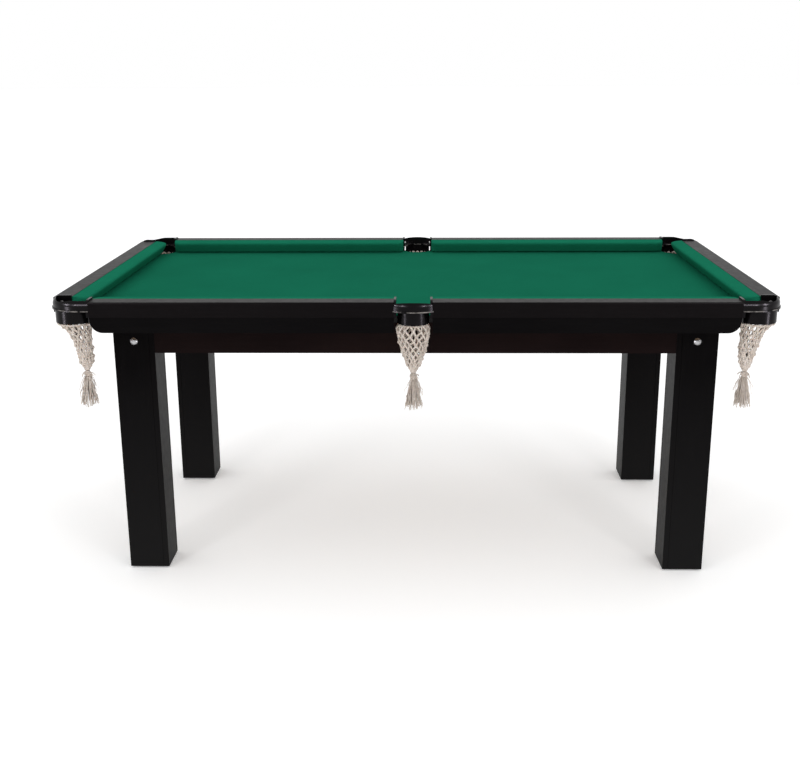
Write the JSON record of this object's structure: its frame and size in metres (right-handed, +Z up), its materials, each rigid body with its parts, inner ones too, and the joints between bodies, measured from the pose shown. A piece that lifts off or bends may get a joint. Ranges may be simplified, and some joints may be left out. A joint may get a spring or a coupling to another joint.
{
  "type": "pool table",
  "caption": "Home pool table with green cloth bed and cushions, black lacquered rails, drop pockets with knotted net bags, and square box legs on levelling feet.",
  "frame": {"origin": "on the floor, under the centre of the table", "axes": "+Z up, +X along the table's length, +Y across it towards the back long rail"},
  "size_m": [1.9144, 1.135, 0.817],
  "materials": {
    "board": "raw fibreboard",
    "bed_cloth": "woven green cloth",
    "cushion_cloth": "woven green cloth, stretched",
    "rubber": "matt",
    "black_rail": "black satin lacquer",
    "black_skirt": "black satin lacquer",
    "black_leg": "black satin lacquer",
    "apron": "dark brown-black satin lacquer",
    "block_wood": "sawn",
    "casting": "gloss",
    "net": "knotted cotton cord",
    "bolt_chrome": "polished",
    "screw_steel": "zinc plated",
    "foot_plastic": "matt"
  },
  "bodies": {
    "table": {"bed_board": "board", "bed_cloth": "bed_cloth", "wood_screws": "screw_steel", "rail_front_left": "black_rail", "cushion_cloth_front_left": "cushion_cloth", "rail_front_right": "black_rail", "cushion_cloth_front_right": "cushion_cloth", "rail_back_left": "black_rail", "cushion_cloth_back_left": "cushion_cloth", "rail_back_right": "black_rail", "cushion_cloth_back_right": "cushion_cloth", "rail_end_left": "black_rail", "cushion_cloth_end_left": "cushion_cloth", "rail_end_right": "black_rail", "cushion_cloth_end_right": "cushion_cloth", "cushion_rubbers": "rubber", "skirt_front_left": "black_skirt", "skirt_front_right": "black_skirt", "skirt_back_left": "black_skirt", "skirt_back_right": "black_skirt", "skirt_end_left": "black_skirt", "skirt_end_right": "black_skirt", "casting_front_left": "casting", "casting_front_right": "casting", "casting_back_left": "casting", "casting_back_right": "casting", "casting_middle_front": "casting", "casting_middle_back": "casting", "net_front_left": "net", "net_front_right": "net", "net_back_left": "net", "net_back_right": "net", "net_middle_front": "net", "net_middle_back": "net", "leg_front_left": "black_leg", "leg_front_right": "black_leg", "leg_back_left": "black_leg", "leg_back_right": "black_leg", "corner_blocks": "block_wood", "leg_bolts": "bolt_chrome", "leg_nuts": "screw_steel", "apron_front": "apron", "apron_back": "apron", "apron_left": "apron", "apron_right": "apron", "cross_beams": "block_wood"},
    "foot_pad_front_left": {"foot_pad_front_left": "foot_plastic"},
    "foot_stud_front_left": {"foot_stud_front_left": "screw_steel"},
    "net_tail_front_left": {"net_tail_front_left": "net"},
    "foot_pad_front_right": {"foot_pad_front_right": "foot_plastic"},
    "foot_stud_front_right": {"foot_stud_front_right": "screw_steel"},
    "net_tail_front_right": {"net_tail_front_right": "net"},
    "foot_pad_back_left": {"foot_pad_back_left": "foot_plastic"},
    "foot_stud_back_left": {"foot_stud_back_left": "screw_steel"},
    "net_tail_back_left": {"net_tail_back_left": "net"},
    "foot_pad_back_right": {"foot_pad_back_right": "foot_plastic"},
    "foot_stud_back_right": {"foot_stud_back_right": "screw_steel"},
    "net_tail_back_right": {"net_tail_back_right": "net"},
    "net_tail_middle_front": {"net_tail_middle_front": "net"},
    "net_tail_middle_back": {"net_tail_middle_back": "net"}
  },
  "joints": [
    {"name": "level_front_left", "type": "slide", "parent": "table", "child": "foot_pad_front_left", "axis": [0, 0, -1], "range_m": [0, 0.012]},
    {"name": "turn_stud_front_left", "type": "hinge", "parent": "foot_pad_front_left", "child": "foot_stud_front_left", "pos_m": [-0.765, -0.356, 0.0029], "axis": [0, 0, -1], "range_deg": [0, 3456.1]},
    {"name": "swing_tail_front_left", "type": "hinge", "parent": "table", "child": "net_tail_front_left", "pos_m": [-0.873, -0.492, 0.6066], "axis": [0, 1, 0], "range_deg": [-30, 30]},
    {"name": "level_front_right", "type": "slide", "parent": "table", "child": "foot_pad_front_right", "axis": [0, 0, -1], "range_m": [0, 0.012]},
    {"name": "turn_stud_front_right", "type": "hinge", "parent": "foot_pad_front_right", "child": "foot_stud_front_right", "pos_m": [0.765, -0.356, 0.0029], "axis": [0, 0, -1], "range_deg": [0, 3456.1]},
    {"name": "swing_tail_front_right", "type": "hinge", "parent": "table", "child": "net_tail_front_right", "pos_m": [0.873, -0.492, 0.6066], "axis": [0, 1, 0], "range_deg": [-30, 30]},
    {"name": "level_back_left", "type": "slide", "parent": "table", "child": "foot_pad_back_left", "axis": [0, 0, -1], "range_m": [0, 0.012]},
    {"name": "turn_stud_back_left", "type": "hinge", "parent": "foot_pad_back_left", "child": "foot_stud_back_left", "pos_m": [-0.765, 0.356, 0.0029], "axis": [0, 0, -1], "range_deg": [0, 3456.1]},
    {"name": "swing_tail_back_left", "type": "hinge", "parent": "table", "child": "net_tail_back_left", "pos_m": [-0.873, 0.492, 0.6066], "axis": [0, 1, 0], "range_deg": [-30, 30]},
    {"name": "level_back_right", "type": "slide", "parent": "table", "child": "foot_pad_back_right", "axis": [0, 0, -1], "range_m": [0, 0.012]},
    {"name": "turn_stud_back_right", "type": "hinge", "parent": "foot_pad_back_right", "child": "foot_stud_back_right", "pos_m": [0.765, 0.356, 0.0029], "axis": [0, 0, -1], "range_deg": [0, 3456.1]},
    {"name": "swing_tail_back_right", "type": "hinge", "parent": "table", "child": "net_tail_back_right", "pos_m": [0.873, 0.492, 0.6066], "axis": [0, 1, 0], "range_deg": [-30, 30]},
    {"name": "swing_tail_middle_front", "type": "hinge", "parent": "table", "child": "net_tail_middle_front", "pos_m": [0, -0.517, 0.6066], "axis": [0, 1, 0], "range_deg": [-30, 30]},
    {"name": "swing_tail_middle_back", "type": "hinge", "parent": "table", "child": "net_tail_middle_back", "pos_m": [0, 0.517, 0.6066], "axis": [0, 1, 0], "range_deg": [-30, 30]}
  ],
  "couplings": [
    {"joint": "turn_stud_front_left", "follows": "level_front_left", "rad_per_m": 5026.5},
    {"joint": "turn_stud_front_right", "follows": "level_front_right", "rad_per_m": 5026.5},
    {"joint": "turn_stud_back_left", "follows": "level_back_left", "rad_per_m": 5026.5},
    {"joint": "turn_stud_back_right", "follows": "level_back_right", "rad_per_m": 5026.5}
  ]
}
